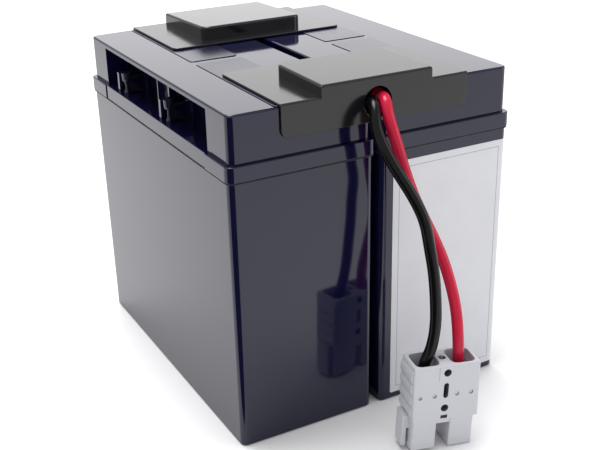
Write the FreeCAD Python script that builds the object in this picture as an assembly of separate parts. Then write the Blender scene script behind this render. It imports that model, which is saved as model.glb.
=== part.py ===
"""Twin-block battery cartridge for an uninterruptible power supply.

Two identical sealed lead-acid blocks stand side by side, one turned half a turn, joined by
foam strips. Two black covers hide the terminals at the front and at the rear. At the rear a
jumper puts the blocks in series. At the front a black and a red lead leave through a hole in
the cover's flap and end in a two-pole connector that stands on the floor.

Frame: X across both blocks, Y from front (-) to rear (+), Z up. The origin is on the floor,
under the middle of the pair. Lengths are in millimetres.
"""
import FreeCAD, Part
import math
import os
from FreeCAD import Rotation, Vector

sink = 0.5                # how far a fused piece runs into the one that carries it

# ---- block: jar and lid -------------------------------------------------------------
block_width = 76.2        # across the lid's band, the widest place
block_length = 181.9
block_height = 167.0
block_gap = 1.6           # between the two bands
corner_radius = 4.0
case_top_inset = 0.9      # jar wall behind the band's face
case_base_inset = 1.5     # more at the floor: moulding draft
base_bevel = 0.8
lid_height = 30.3         # from the bottom of the band to the lid's top
band_height = 7.6
band_edge = 0.5           # rounded edges of the band
lid_inset = 1.93          # upper part of the lid behind the band's face
lid_corner_radius = 3.5
lid_edge_radius = 1.0
case_wall = 2.6
case_floor = 3.2
partition = 1.8
cell_draft = 0.5          # cell is this much narrower at the floor, per side
cell_count = 6
joint_tongue = 3.3        # jar rim that stands up into the lid
joint_clearance = 0.15
cell_corner = 1.2
lid_wall = 2.2
lid_roof = 2.6

# ---- finger grip in the lid's outer side ----------------------------------------------
grip_half_length = 66.2
grip_depth = 13.0
grip_end_slope = 1.0      # how far the end walls lean in
grip_relief = 0.5         # the band is this much thinner below the grip
grip_rib = 1.6
grip_rib_setback = 9.0    # rib fronts behind the lid's side face
post_setback = 2.9        # post axis behind the lid's side face
post_height = 11.2
post_top_radius = 2.5
post_neck_radius = 0.9
post_neck_height = 2.6    # the post is straight from here
post_flare_height = 5.2   # to here, and opens above
post_shoulder_height = 7.2
post_shoulder_radius = 2.2
post_foot_height = 1.2
post_foot_radius = 1.6
post_web_drop = 2.0       # web top below the post's top
strip_offset = 5.4        # flat strip beside each post
strip_width = 2.4
strip_thickness = 2.4
strip_height = 10.4
strip_setback = 1.5       # strip's middle behind the lid's side face
roof_rib_thickness = 0.8  # rib that joins the front strip to the roof

# ---- vents -----------------------------------------------------------------------------
vent_cover_width = 25.6
vent_cover_gap = 5.6      # between the two vent covers of a block
vent_cover_end = 1.2      # vent cover end behind the lid's end face
vent_cover_thickness = 2.0
vent_cover_proud = 0.3
vent_cover_corner = 2.0
vent_fit = 0.1
vent_cover_edge = 0.25
trough_width = 19.0
trough_depth = 11.0       # below the lid's top
trough_end_wall = 2.4
chimney_radius = 4.2
chimney_bore = 2.2
chimney_height = 5.0
cap_radius = 5.6
cap_height = 6.2
cap_wall = 1.3
cap_edge = 0.6
press_post_radius = 2.4

# ---- terminals ---------------------------------------------------------------------------
notch_depth = 14.0        # terminal notch below the lid's top
notch_length = 39.0
notch_width = 20.3
terminal_setback = 19.0   # bolt axis behind the lid's end face
tab_thickness = 2.5
tab_width = 11.0
tab_height = 14.6
tab_inner_face = 6.1      # from the middle plane of the pair
foot_length = 14.0
foot_thickness = 2.2
pillar_radius = 4.0
pillar_setback = 8.8      # pillar axis behind the tab's inner face
pillar_fit = 0.1
tab_corner = 2.5
seal_radius = 6.0
seal_height = 1.6
seal_fit = 0.05
boss_height = 11.0        # sleeve of the lid round each pillar, below the notch floor
bolt_height = 10.0        # bolt axis above the notch floor
bolt_radius = 2.5         # M5
bolt_hole_radius = 2.7
bolt_length = 12.0
bolt_head_height = 3.5
bolt_head_radius = 4.6    # over the hexagon's corners
nut_height = 4.0
washer_radius = 4.8
washer_thickness = 1.0

# ---- plates and mats inside each cell -------------------------------------------------
positive_count = 4
negative_count = 5
positive_thickness = 1.9
negative_thickness = 1.5
stack_clearance = 1.22    # stack to the partition at each end, at the floor
plate_side_clearance = 1.8
mat_overhang = 1.6
strap_width = 11.0
strap_height = 4.5
strap_drop = 15.7         # strap bottom below the bottom of the band
plate_lug_height = 5.8
plate_lug_width = 8.0
weld_radius = 3.6         # lead weld through each partition
weld_fit = 0.1
strap_overhang = 1.0      # strap past the outermost plates
mat_side_overhang = 0.8

# ---- covers ------------------------------------------------------------------------------
cover_half_width = 50.0
cover_thickness = 1.1
cover_length = 61.7       # from the flap's face towards the middle
flap_clearance = 0.05     # flap behind face of the lids
flap_drop = 16.0          # flap bottom edge below the cover's top
flap_corner_radius = 4.0
cover_corner_radius = 3.0
cover_bend_radius = 1.0
front_box_half_width = 29.7
front_box_length = 43.7
front_box_rise = 5.3      # at the flap
front_box_slope = 0.6     # further rise at the inner end
rear_box_half_width = 29.7
rear_box_length = 54.2
rear_box_rise = 5.5
rear_box_slope = 1.7
box_corner_radius = 4.5
box_edge_radius = 1.2
cable_hole_radius = 7.3
cable_hole_drop = 5.5     # hole centre below the lid's top
tape_width = 6.0
tape_length = 12.0
tape_clearance = 2.0      # to the cover's inner end and to the terminal notch
tape_beside_vent = 0.4

# ---- foam strips between the blocks --------------------------------------------------
foam_width = 26.0
foam_length = 150.0
foam_from_floor = 32.0    # lower strip's middle above the floor
foam_from_band = 32.7     # upper strip's middle below the band
foam_half_thickness = 4.0 # before the jars' walls trim it

# ---- leads and lugs ------------------------------------------------------------------------
lead_diameter = 5.5
lug_ring_radius = 4.9
lug_thickness = 1.0
barrel_radius = 2.4
barrel_bore = 1.5
barrel_start = 6.4        # from the bolt axis
barrel_bore_start = 7.9
lug_neck_half_width = 2.16
lug_reach = 14.5          # bolt axis to the barrel's mouth
sleeve_wall = 0.7
sleeve_start = 7.4
jumper_lift = 22.0        # degrees: rear barrels point up and forward
jumper_first_run = 4.5    # straight out of each rear barrel
jumper_loop_radius = 6.5
lead_end_gap = 0.25       # lead end to its barrel
arc_share = 0.45          # part of each run that its arc may take

# ---- two-pole connector ---------------------------------------------------------------
connector_place = (7.6, -130.8)
connector_yaw = -12.0
connector_lean = 3.0
connector_floor_gap = 0.1
connector_height = 45.0
connector_thickness = 15.6
shell_top_half = 16.7
shell_waist_half = 17.7   # at the bottom of the grip ridges
block_top = 15.7          # height of the two mating blocks
mating_block_inner = 3.4
mating_block_outer = 15.5
shell_foot_half = 15.9     # shell just above the left mating block
wing_gap = 1.3
wing_thickness = 2.1
wing_width = 8.3
wing_shift = 0.9          # wing's middle towards the back
wing_height = 17.8
wing_bottom = 0.8
wing_edge = 0.6
wing_root_height = 7.3    # how far the wing is joined to its block
shell_edge_radius = 0.8
split_height = 13.6       # open notch between the mating blocks
split_rib_width = 2.6
split_rib_depth = 4.0
split_rib_bottom = 3.6
split_wall_inset = 0.4    # wall between the blocks behind their faces
pole_offset = 9.0
pocket_width = 12.0
pocket_floor = 33.8
pocket_wall = 1.3
pocket_corner = 3.0
mating_socket_width = 8.6
mating_socket_wall = 1.5
mount_hole_radius = 1.9
mount_hole_heights = (41.0, 21.9)
slot_height = 8.0
slot_width = 2.5
slot_centre = 31.4
recess_centre = 17.2
recess_size = (3.4, 1.8)
recess_depth = 1.2
spine_hole_radius = 1.8
spine_hole_depth = 4.0
ridge_count = 6
ridge_depth = 0.5
ridge_bottom = 23.5
ridge_top = 43.0
ridge_share = 0.56        # groove height as a share of the ridges' pitch
ridge_side_land = 2.2     # plain land beside the grooves
ridge_reach = 2.0
pad_half_width = 3.9
pad_bottom = 37.0
pad_rise = 0.25
dimple_offsets = (5.7, 13.0)
dimple_height = 29.0
dimple_radius = 1.1
dimple_depth = 0.5
contact_barrel_radius = 3.7
contact_bore_radius = 2.2
contact_barrel_top = 38.0
contact_barrel_bottom = 22.0
contact_bore_floor = 3.0
blade_width = 7.0
blade_thickness = 2.0
blade_shift = 1.5         # blade behind the barrel's axis
blade_bottom = 6.0
blade_tip_swell = 0.6
socket_roof = 2.5         # between a mating socket and the barrel above it
socket_corner = 1.0
spring_end_room = 3.0
spring_thickness = 0.5
spring_width = 6.4
spring_bow = 3.0
contact_fit = 0.1

# ---- bare label on the front of the right block -------------------------------------------
label_width = 65.6
label_bottom = 3.7
label_top_margin = 6.2    # below the bottom of the band
label_margin = 8.0        # from the block's inner side
label_corner = 1.0
label_thickness = 0.25

# ---- derived places ----------------------------------------------------------------------
block_offset = (block_width + block_gap) / 2
band_bottom = block_height - lid_height
band_top = band_bottom + band_height
band_half_width = block_width / 2
band_half_length = block_length / 2
lid_half_width = band_half_width - lid_inset
lid_half_length = band_half_length - lid_inset
notch_floor = block_height - notch_depth
trough_floor = block_height - trough_depth
grip_ceiling = block_height - lid_roof
grip_back = -lid_half_width + grip_depth
bolt_y = lid_half_length - terminal_setback
bolt_z = notch_floor + bolt_height
tab_x = block_offset - tab_inner_face        # tab's inner face in the block's own frame
pillar_x = tab_x - pillar_setback
case_half_width = band_half_width - case_top_inset
case_half_length = band_half_length - case_top_inset
cell_half_width = case_half_width - case_wall
cell_pitch = (2 * (case_half_length - case_wall) + partition) / cell_count
cell_length = cell_pitch - partition
strap_offset = pillar_x                      # straps stand under the terminals' pillars
strap_bottom = band_bottom - strap_drop
plate_height = strap_bottom - plate_lug_height - case_floor
mat_half_width = cell_half_width - cell_draft - plate_side_clearance
plate_width = 2 * (mat_half_width - mat_side_overhang)
stack_length = cell_length - cell_draft - 2 * stack_clearance
mat_count = positive_count + negative_count - 1
mat_thickness = (stack_length - positive_count * positive_thickness
                 - negative_count * negative_thickness) / mat_count
cable_hole_height = block_height - cable_hole_drop
foam_heights = (foam_from_floor, band_bottom - foam_from_band)
label_height = band_bottom - label_top_margin - label_bottom
cover_bottom = block_height + vent_cover_proud
cover_top = cover_bottom + cover_thickness
flap_inner = lid_half_length + flap_clearance
flap_outer = flap_inner + cover_thickness
lug_axis_x = tab_inner_face - barrel_radius  # lead axis at the lugs, from the middle plane

black_route = [
    (-3.7, -84.8, 163.0), (-3.8, -88.6, 162.9), (-5.2, -95.8, 161.6), (-8.6, -100.8, 154.6),
    (-7.4, -106.0, 145.4), (-3.2, -111.6, 134.6), (2.0, -117.0, 123.4), (5.9, -120.8, 112.4),
    (6.4, -123.8, 101.2), (7.6, -126.4, 88.0), (7.5, -128.6, 74.4), (7.0, -129.8, 62.2),
    (4.9, -129.9, 51.2), (1.0, -129.4, 43.6), (0.8, -129.3, 39.6),
]
red_route = [
    (3.7, -84.8, 163.0), (3.6, -87.6, 163.1), (0.6, -95.2, 163.8), (-0.9, -99.8, 157.4),
    (1.6, -103.0, 145.4), (4.6, -105.6, 132.0), (8.0, -108.8, 119.0), (12.8, -113.2, 105.8),
    (17.0, -118.8, 92.4), (18.6, -124.8, 79.2), (18.9, -129.6, 66.6), (18.1, -132.6, 54.8),
    (18.2, -133.1, 45.2), (18.4, -133.1, 38.7),
]


def rounded_outline(half_x, half_y, radius, z, cx=0.0, cy=0.0):
    """Closed rectangular wire with round corners, at height z."""
    straight_x, straight_y = half_x - radius, half_y - radius
    edges = []
    corners = [(1, 1, 0), (-1, 1, 90), (-1, -1, 180), (1, -1, 270)]
    points = []
    for sx, sy, start in corners:
        centre = Vector(cx + sx * straight_x, cy + sy * straight_y, z)
        arc = [centre + Vector(radius * math.cos(math.radians(start + turn)),
                               radius * math.sin(math.radians(start + turn)), 0)
               for turn in (0, 45, 90)]
        points.append(arc)
    for i, arc in enumerate(points):
        edges.append(Part.Arc(*arc).toShape())
        edges.append(Part.LineSegment(arc[2], points[(i + 1) % 4][0]).toShape())
    return Part.Wire(edges)


def rounded_block(half_x, half_y, radius, z0, z1, cx=0.0, cy=0.0):
    face = Part.Face(rounded_outline(half_x, half_y, radius, z0, cx, cy))
    return face.extrude(Vector(0, 0, z1 - z0))


def tapered_block(lower, upper, z0, z1):
    """Solid between two rounded outlines, each (half_x, half_y, radius)."""
    wires = [rounded_outline(*lower, z0), rounded_outline(*upper, z1)]
    return Part.makeLoft(wires, True, True)


def box(x0, x1, y0, y1, z0, z1):
    return Part.makeBox(x1 - x0, y1 - y0, z1 - z0, Vector(x0, y0, z0))


def cylinder(radius, height, base, axis=(0, 0, 1)):
    return Part.makeCylinder(radius, height, Vector(*base), Vector(*axis))


def prism(points, direction):
    """Solid swept in a straight line from a closed outline of points."""
    corners = [Vector(*p) for p in points]
    wire = Part.makePolygon(corners + corners[:1])
    return Part.Face(wire).extrude(Vector(*direction))


def fuse(shapes):
    joined = shapes[0].multiFuse(shapes[1:]) if len(shapes) > 1 else shapes[0]
    return joined.removeSplitter()


def edges_where(shape, test):
    return [edge for edge in shape.Edges if test(edge)]


def save(name, shape):
    os.makedirs("parts", exist_ok=True)
    if not shape.isValid():
        print("not valid:", name)
    shape.exportStep("parts/" + name + ".step")
    print(name, "solids", len(shape.Solids), "volume", round(shape.Volume, 1))


# ---- one block, in its own frame: outer side -X, inner side +X ----------------------
def case_outline(z):
    """Half sizes and radius of the jar's outside at height z."""
    share = z / band_bottom
    inset = case_base_inset + (case_top_inset - case_base_inset) * share
    return band_half_width - inset, band_half_length - inset, corner_radius - inset / 2


def case_body(grow=0.0):
    """Solid outside form of the jar, from the floor to the band."""
    foot = [size - base_bevel + grow for size in case_outline(0)]
    above = [size + grow for size in case_outline(base_bevel)]
    top = [size + grow for size in case_outline(band_bottom)]
    return fuse([tapered_block(foot, above, 0, base_bevel),
                 tapered_block(above, top, base_bevel, band_bottom)])


def cell_centre(index):
    return (index - (cell_count - 1) / 2) * cell_pitch


def tongue(clearance):
    """Rim of the jar that stands in the lid; the lid's groove is the same with clearance."""
    outer = case_half_width - lid_wall / 2 + clearance
    outer_length = case_half_length - lid_wall / 2 + clearance
    inner = cell_half_width + 0.1 - clearance
    inner_length = case_half_length - case_wall + 0.1 - clearance
    height = band_bottom + joint_tongue + clearance
    ring = rounded_block(outer, outer_length, corner_radius - 1, band_bottom - 1, height)
    core = rounded_block(inner, inner_length, corner_radius - 2, band_bottom - 2, height + 1)
    return ring.cut(core)


def weld_side(index):
    """Side of the block (+1 inner, -1 outer) of the weld between cell index and the next."""
    return -1 if index % 2 == 0 else 1


def make_case():
    cavities = []
    for i in range(cell_count):
        y = cell_centre(i)
        lower = (cell_half_width - cell_draft, cell_length / 2 - cell_draft / 2, cell_corner)
        upper = (cell_half_width, cell_length / 2, cell_corner)
        cavity = tapered_block(lower, upper, case_floor, band_bottom + 6)
        cavity.translate(Vector(0, y, 0))
        cavities.append(cavity)
    body = fuse([case_body(), tongue(0.0)])
    weld_z = strap_bottom + strap_height / 2
    holes = []
    for i in range(cell_count - 1):
        wall_y = (cell_centre(i) + cell_centre(i + 1)) / 2
        holes.append(cylinder(weld_radius, 2 * partition,
                              (weld_side(i) * strap_offset, wall_y - partition, weld_z), (0, 1, 0)))
    above_partitions = []
    for i in range(cell_count - 1):
        wall_y = (cell_centre(i) + cell_centre(i + 1)) / 2
        above_partitions.append(box(-cell_half_width, cell_half_width, wall_y - partition,
                                    wall_y + partition, band_bottom, band_bottom + 6))
    return body.cut(cavities + holes + above_partitions)


def grip_cut():
    """Space of the finger grip, open to the outer side, with leaning end walls."""
    outside = -lid_half_width - 1
    outline = [(outside, -grip_half_length, band_top), (outside, grip_half_length, band_top),
               (grip_back, grip_half_length - grip_end_slope, band_top),
               (grip_back, -grip_half_length + grip_end_slope, band_top)]
    return prism(outline, (0, 0, grip_ceiling - band_top))


def grip_ribs():
    """Webs at the cell walls, with a funnel post and a flat strip in every second cell."""
    pieces = []
    front = -lid_half_width + grip_rib_setback
    for i in range(cell_count - 1):
        y = (cell_centre(i) + cell_centre(i + 1)) / 2
        pieces.append(box(front, grip_back + sink, y - grip_rib / 2, y + grip_rib / 2,
                          band_top - sink, grip_ceiling + sink))
    post_x = -lid_half_width + post_setback
    for i in (2, 4):
        y = cell_centre(i)
        profile = [(0, 0, -sink), (post_foot_radius, 0, -sink),
                   (post_foot_radius, 0, post_foot_height),
                   (post_neck_radius, 0, post_neck_height),
                   (post_neck_radius, 0, post_flare_height),
                   (post_shoulder_radius, 0, post_shoulder_height),
                   (post_top_radius, 0, post_height), (0, 0, post_height)]
        wire = Part.makePolygon([Vector(*p) for p in profile + profile[:1]])
        post = Part.Face(wire).revolve(Vector(0, 0, 0), Vector(0, 0, 1), 360)
        post.translate(Vector(post_x, y, band_top))
        web = box(post_x, grip_back + sink, y - grip_rib / 2, y + grip_rib / 2,
                  band_top - sink, band_top + post_height - post_web_drop)
        strip_x = -lid_half_width + strip_setback
        strip = box(strip_x - strip_thickness / 2, strip_x + strip_thickness / 2,
                    y + strip_offset - strip_width / 2, y + strip_offset + strip_width / 2,
                    band_top - sink, band_top + strip_height)
        strip_web = box(strip_x, grip_back + sink, y + strip_offset - grip_rib / 2,
                        y + strip_offset + grip_rib / 2, band_top - sink, band_top + strip_height)
        pieces += [post, web, strip, strip_web]
        if i == 2:
            far = y + strip_offset + strip_width / 2
            pieces.append(box(strip_x - strip_thickness / 2, strip_x, far - roof_rib_thickness, far,
                              band_top + strip_height - sink, grip_ceiling + sink))
    return pieces


def vent_plan(end):
    """Centre and half length along Y of the vent cover at end -1 (front) or +1 (rear)."""
    inner = vent_cover_gap / 2
    outer = lid_half_length - vent_cover_end
    return end * (inner + outer) / 2, (outer - inner) / 2


def headspace(index):
    """Hollow of the lid over one cell, between the ribs that meet the partitions."""
    y0 = cell_centre(index) - cell_length / 2
    y1 = y0 + cell_length
    grip_floor = band_top - lid_wall
    inner_wall = cell_half_width
    behind_grip = grip_back + lid_wall
    beside_trough = trough_width / 2 + lid_wall
    notch_x = lid_half_width - notch_width
    under_trough = trough_floor - lid_wall
    tower_top = block_height - lid_roof
    start = band_bottom - 1
    hollow = [box(-inner_wall, inner_wall, y0, y1, start, grip_floor),
              box(behind_grip, inner_wall, y0, y1, start, notch_floor - lid_wall),
              box(behind_grip, notch_x - lid_wall, y0, y1, start, under_trough)]
    recess_floor = block_height + vent_cover_proud - vent_cover_thickness - lid_wall
    hollow.append(box(behind_grip, -beside_trough, y0, y1, start, recess_floor))
    notch_end = lid_half_length - notch_length - lid_wall
    tower_y0, tower_y1 = max(y0, -notch_end), min(y1, notch_end)
    if tower_y1 - tower_y0 > lid_wall:
        side = lid_half_width - lid_wall
        recess_side = vent_cover_width / 2 + lid_wall
        hollow.append(box(recess_side, side, tower_y0, tower_y1, start, tower_top))
    return fuse(hollow)


def make_lid():
    band = rounded_block(band_half_width, band_half_length, corner_radius, band_bottom, band_top)
    rims = edges_where(band, lambda e: abs(e.BoundBox.ZLength) < 0.01)
    band = band.makeFillet(band_edge, rims)
    upper = rounded_block(lid_half_width, lid_half_length, lid_corner_radius, band_top - 1,
                          block_height)
    top_rim = edges_where(upper, lambda e: e.BoundBox.ZMin > block_height - 0.01)
    upper = upper.makeFillet(lid_edge_radius, top_rim)
    body = fuse([band, upper])
    cuts = [grip_cut(), tongue(joint_clearance)]
    cuts.append(box(-band_half_width - 1, -band_half_width + grip_relief, -grip_half_length,
                    grip_half_length, band_bottom - 1, band_top + 0.01))
    for end in (-1, 1):
        y, half = vent_plan(end)
        recess = rounded_block(vent_cover_width / 2 + vent_fit, half + vent_fit, vent_cover_corner,
                               block_height + vent_cover_proud - vent_cover_thickness,
                               block_height + 1, 0, y)
        trough = rounded_block(trough_width / 2, half - trough_end_wall, vent_cover_corner,
                               trough_floor, block_height + 1, 0, y)
        cuts += [recess, trough]
        edge = lid_half_length - notch_length
        y0, y1 = sorted((end * edge, end * (lid_half_length + 1)))
        cuts.append(box(lid_half_width - notch_width, lid_half_width + 1, y0, y1,
                        notch_floor, block_height + 1))
        cuts.append(cylinder(seal_radius, seal_height + 1,
                             (pillar_x, end * bolt_y, notch_floor - seal_height)))
        cuts.append(cylinder(pillar_radius + pillar_fit, notch_depth,
                             (pillar_x, end * bolt_y, notch_floor - notch_depth)))
    cuts += [headspace(i) for i in range(cell_count)]
    body = body.cut(cuts)
    bosses = []
    for end in (-1, 1):
        boss = cylinder(seal_radius + lid_wall, boss_height,
                        (pillar_x, end * bolt_y, notch_floor - boss_height))
        boss = boss.cut([cylinder(pillar_radius + pillar_fit, notch_depth * 2,
                                  (pillar_x, end * bolt_y, notch_floor - notch_depth)),
                         cylinder(seal_radius, seal_height + 1,
                                  (pillar_x, end * bolt_y, notch_floor - seal_height))])
        bosses.append(boss)
    chimneys, bores = [], []
    for i in range(cell_count):
        y = vent_y(i)
        chimneys.append(cylinder(chimney_radius, chimney_height + 1, (0, y, trough_floor - 1)))
        bores.append(cylinder(chimney_bore, 3 * chimney_height, (0, y, trough_floor - 6)))
    return fuse([body] + bosses + grip_ribs() + chimneys).cut(bores)


def vent_y(index):
    """Vent chimney of one cell, kept clear of the trough's end walls."""
    side = -1 if index < cell_count / 2 else 1
    inner = vent_cover_gap / 2 + trough_end_wall + cap_radius + 1
    outer = lid_half_length - vent_cover_end - trough_end_wall - cap_radius - 1
    return side * min(max(abs(cell_centre(index)), inner), outer)


def make_vent_cover(end):
    y, half = vent_plan(end)
    top = block_height + vent_cover_proud
    plate = rounded_block(vent_cover_width / 2, half, vent_cover_corner,
                          top - vent_cover_thickness, top, 0, y)
    rim = edges_where(plate, lambda e: e.BoundBox.ZMin > top - 0.01)
    plate = plate.makeFillet(vent_cover_edge, rim)
    pieces = [plate]
    cap_top = trough_floor + chimney_height + cap_wall
    for i in range(cell_count):
        if vent_y(i) * end > 0:
            height = top - vent_cover_thickness - cap_top + sink
            pieces.append(cylinder(press_post_radius, height, (0, vent_y(i), cap_top)))
    return fuse(pieces)


def make_valve_caps():
    caps = []
    for i in range(cell_count):
        top = trough_floor + chimney_height + cap_wall
        cap = cylinder(cap_radius, cap_height, (0, vent_y(i), top - cap_height))
        inside = cylinder(chimney_radius, cap_height, (0, vent_y(i), top - cap_wall - cap_height))
        rim = edges_where(cap, lambda e: e.BoundBox.ZMin > top - 0.01)
        caps.append(cap.makeFillet(cap_edge, rim).cut(inside))
    return Part.makeCompound(caps)


def plate_pitch():
    return (positive_thickness + negative_thickness) / 2 + mat_thickness


def plate_stack(index, count, thickness, first, strap_side):
    """All plates of one polarity in one cell, with the strap cast over their lugs."""
    y = cell_centre(index)
    half_stack = (positive_count + negative_count - 1) * plate_pitch() / 2
    top = case_floor + plate_height
    strap_top = strap_bottom + strap_height
    x = strap_side * strap_offset
    pieces = []
    for k in range(count):
        py = y - half_stack + (first + 2 * k) * plate_pitch()
        plate = box(-plate_width / 2, plate_width / 2, py - thickness / 2, py + thickness / 2,
                    case_floor, top)
        lug = box(x - plate_lug_width / 2, x + plate_lug_width / 2, py - thickness / 2,
                  py + thickness / 2, top, strap_bottom + sink)
        pieces += [plate, lug]
    half_strap = half_stack + strap_overhang
    pieces.append(box(x - strap_width / 2, x + strap_width / 2, y - half_strap, y + half_strap,
                      strap_bottom, strap_top))
    weld_z = strap_bottom + strap_height / 2
    for neighbour, wall in ((index - 1, index - 1), (index + 1, index)):
        if 0 <= neighbour < cell_count and weld_side(wall) == strap_side:
            toward = 1 if neighbour > index else -1
            wall_y = (cell_centre(index) + cell_centre(neighbour)) / 2
            start = y + toward * (half_strap - sink)
            pieces.append(cylinder(weld_radius - weld_fit, abs(wall_y - start),
                                   (x, min(start, wall_y), weld_z), (0, 1, 0)))
    return fuse(pieces)


def make_plates(polarity):
    """The plate groups of all six cells. Straps change sides from cell to cell."""
    groups = []
    for i in range(cell_count):
        negative_side = 1 if i % 2 == 0 else -1
        if polarity == "negative":
            groups.append(plate_stack(i, negative_count, negative_thickness, 0, negative_side))
        else:
            groups.append(plate_stack(i, positive_count, positive_thickness, 1, -negative_side))
    return Part.makeCompound(groups)


def make_separators():
    """Glass mats between the plates, a little higher than the plates."""
    mats = []
    count = positive_count + negative_count
    half_stack = (count - 1) * plate_pitch() / 2
    for i in range(cell_count):
        for k in range(count - 1):
            y = cell_centre(i) - half_stack + (k + 0.5) * plate_pitch()
            near, far = ((negative_thickness, positive_thickness) if k % 2 == 0
                         else (positive_thickness, negative_thickness))
            y0 = y - plate_pitch() / 2 + near / 2
            y1 = y + plate_pitch() / 2 - far / 2
            mats.append(box(-mat_half_width, mat_half_width, y0, y1, case_floor,
                            case_floor + plate_height + mat_overhang))
    return Part.makeCompound(mats)


def make_terminal(end):
    """L-shaped terminal: foot on the notch floor, upright tab, pillar down to the strap."""
    y = end * bolt_y
    tab = box(tab_x - tab_thickness, tab_x, y - tab_width / 2, y + tab_width / 2,
              notch_floor, notch_floor + tab_height)
    upright_edges = edges_where(tab, lambda e: e.BoundBox.ZMin > notch_floor + tab_height - 0.01
                                and e.BoundBox.XLength > 1)
    tab = tab.makeFillet(tab_corner, upright_edges)
    foot = box(tab_x - foot_length, tab_x, y - tab_width / 2,
               y + tab_width / 2, notch_floor, notch_floor + foot_thickness)
    strap_top = strap_bottom + strap_height
    pillar = cylinder(pillar_radius, notch_floor - strap_top + 1, (pillar_x, y, strap_top))
    hole = cylinder(bolt_hole_radius, 4 * tab_thickness,
                    (tab_x - 3 * tab_thickness, y, bolt_z), (1, 0, 0))
    return fuse([tab, foot, pillar]).cut(hole)


def make_terminal_seals():
    seals = []
    for end in (-1, 1):
        ring = cylinder(seal_radius - seal_fit, seal_height,
                        (pillar_x, end * bolt_y, notch_floor - seal_height))
        bore = cylinder(pillar_radius, 3 * seal_height,
                        (pillar_x, end * bolt_y, notch_floor - 2 * seal_height))
        seals.append(ring.cut(bore))
    return Part.makeCompound(seals)


def place_block(shape, side):
    """Left block stands at -X. The right one is the same block turned half a turn."""
    placed = shape.copy()
    if side == "right":
        placed.rotate(Vector(0, 0, 0), Vector(0, 0, 1), 180)
    placed.translate(Vector(-block_offset if side == "left" else block_offset, 0, 0))
    return placed


# ---- covers, in the pair's frame; end -1 is the front cover, +1 the rear cover ---------
def cover_box(end, half_width, length, rise, slope, wall):
    """Raised box of a cover, shrunk by wall on every closed side."""
    outer = flap_outer - wall
    inner = flap_outer - length + wall
    base = cover_bottom - (1 if wall else 0)
    outline = [(-half_width + wall, outer, base), (-half_width + wall, inner, base),
               (-half_width + wall, inner, cover_top + rise + slope - wall),
               (-half_width + wall, outer, cover_top + rise - wall)]
    solid = prism(outline, (2 * (half_width - wall), 0, 0))
    uprights = edges_where(solid, lambda e: abs(e.BoundBox.XLength) < 0.01
                           and abs(e.BoundBox.YLength) < 0.01 and e.BoundBox.YMax < inner + 1)
    solid = solid.makeFillet(box_corner_radius - wall, uprights)
    lid_edges = edges_where(solid, lambda e: e.BoundBox.ZMin > cover_top + rise - wall - 0.1)
    solid = solid.makeFillet(max(box_edge_radius - wall, 0.3), lid_edges)
    if end < 0:
        solid = solid.mirror(Vector(0, 0, 0), Vector(0, 1, 0))
    return solid


def make_cover(end, half_width, length, rise, slope):
    inner = flap_outer - cover_length
    middle, half = (flap_outer + inner) / 2, cover_length / 2
    plate = rounded_block(cover_half_width, half, cover_corner_radius, cover_bottom, cover_top,
                          0, middle)
    square_end = box(-cover_half_width, cover_half_width, flap_outer - cover_corner_radius - 1,
                     flap_outer, cover_bottom, cover_top)
    flap = box(-cover_half_width, cover_half_width, flap_inner, flap_outer,
               cover_top - flap_drop, cover_top)
    lower = edges_where(flap, lambda e: e.BoundBox.ZMax < cover_top - flap_drop + 0.01
                        and e.BoundBox.YLength > 0.5)
    flap = flap.makeFillet(flap_corner_radius, lower)
    sheet = fuse([plate, square_end, flap])
    bend = edges_where(sheet, lambda e: abs(e.BoundBox.ZMin - cover_top) < 0.01
                       and abs(e.BoundBox.YMin - flap_outer) < 0.01)
    sheet = sheet.makeFillet(cover_bend_radius, bend)
    if end < 0:
        sheet = sheet.mirror(Vector(0, 0, 0), Vector(0, 1, 0))
    raised = cover_box(end, half_width, length, rise, slope, 0.0)
    hollow = cover_box(end, half_width, length, rise, slope, cover_thickness)
    cover = fuse([sheet, raised]).cut(hollow)
    if end < 0:
        cover = cover.cut(cylinder(cable_hole_radius, 4 * cover_thickness,
                                   (0, -flap_outer - cover_thickness, cable_hole_height),
                                   (0, 1, 0)))
    return cover


def make_cover_tape(end):
    """Two strips of tape that hold a cover on the flat lid beside the vent covers."""
    strips = []
    inner = flap_outer - cover_length + tape_clearance
    outer = min(inner + tape_length, lid_half_length - notch_length - tape_clearance)
    x0 = block_offset - vent_cover_width / 2 - vent_fit - tape_beside_vent
    for side in (-1, 1):
        xs = sorted((side * (x0 - tape_width), side * x0))
        ys = sorted((end * inner, end * outer))
        strips.append(box(xs[0], xs[1], ys[0], ys[1], block_height, cover_bottom))
    return Part.makeCompound(strips)


def make_foam():
    """Foam strips that fill the wedge between the two drafted jars."""
    jars = [place_block(case_body(), side) for side in ("left", "right")]
    strips = []
    for z in foam_heights:
        strip = box(-foam_half_thickness, foam_half_thickness, -foam_length / 2, foam_length / 2,
                    z - foam_width / 2, z + foam_width / 2)
        strips.append(strip.cut(jars))
    return Part.makeCompound(strips)


def make_label():
    """Thin film that follows the drafted front face of the right block."""
    film = place_block(case_body(label_thickness), "right")
    film = film.cut(place_block(case_body(), "right"))
    x0 = block_gap / 2 + label_margin
    window = Part.Face(rounded_outline(label_width / 2, label_height / 2, label_corner, 0))
    window = window.extrude(Vector(0, 0, 20))
    window.rotate(Vector(0, 0, 0), Vector(1, 0, 0), 90)
    window.translate(Vector(x0 + label_width / 2, -band_half_length + 10,
                            label_bottom + label_height / 2))
    return film.common(window)


# ---- terminal hardware ------------------------------------------------------------------
def hexagon(radius, thickness, x, y, z, direction):
    points = [(x, y + radius * math.cos(math.radians(60 * k)),
               z + radius * math.sin(math.radians(60 * k))) for k in range(6)]
    return prism(points, (direction * thickness, 0, 0))


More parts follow.
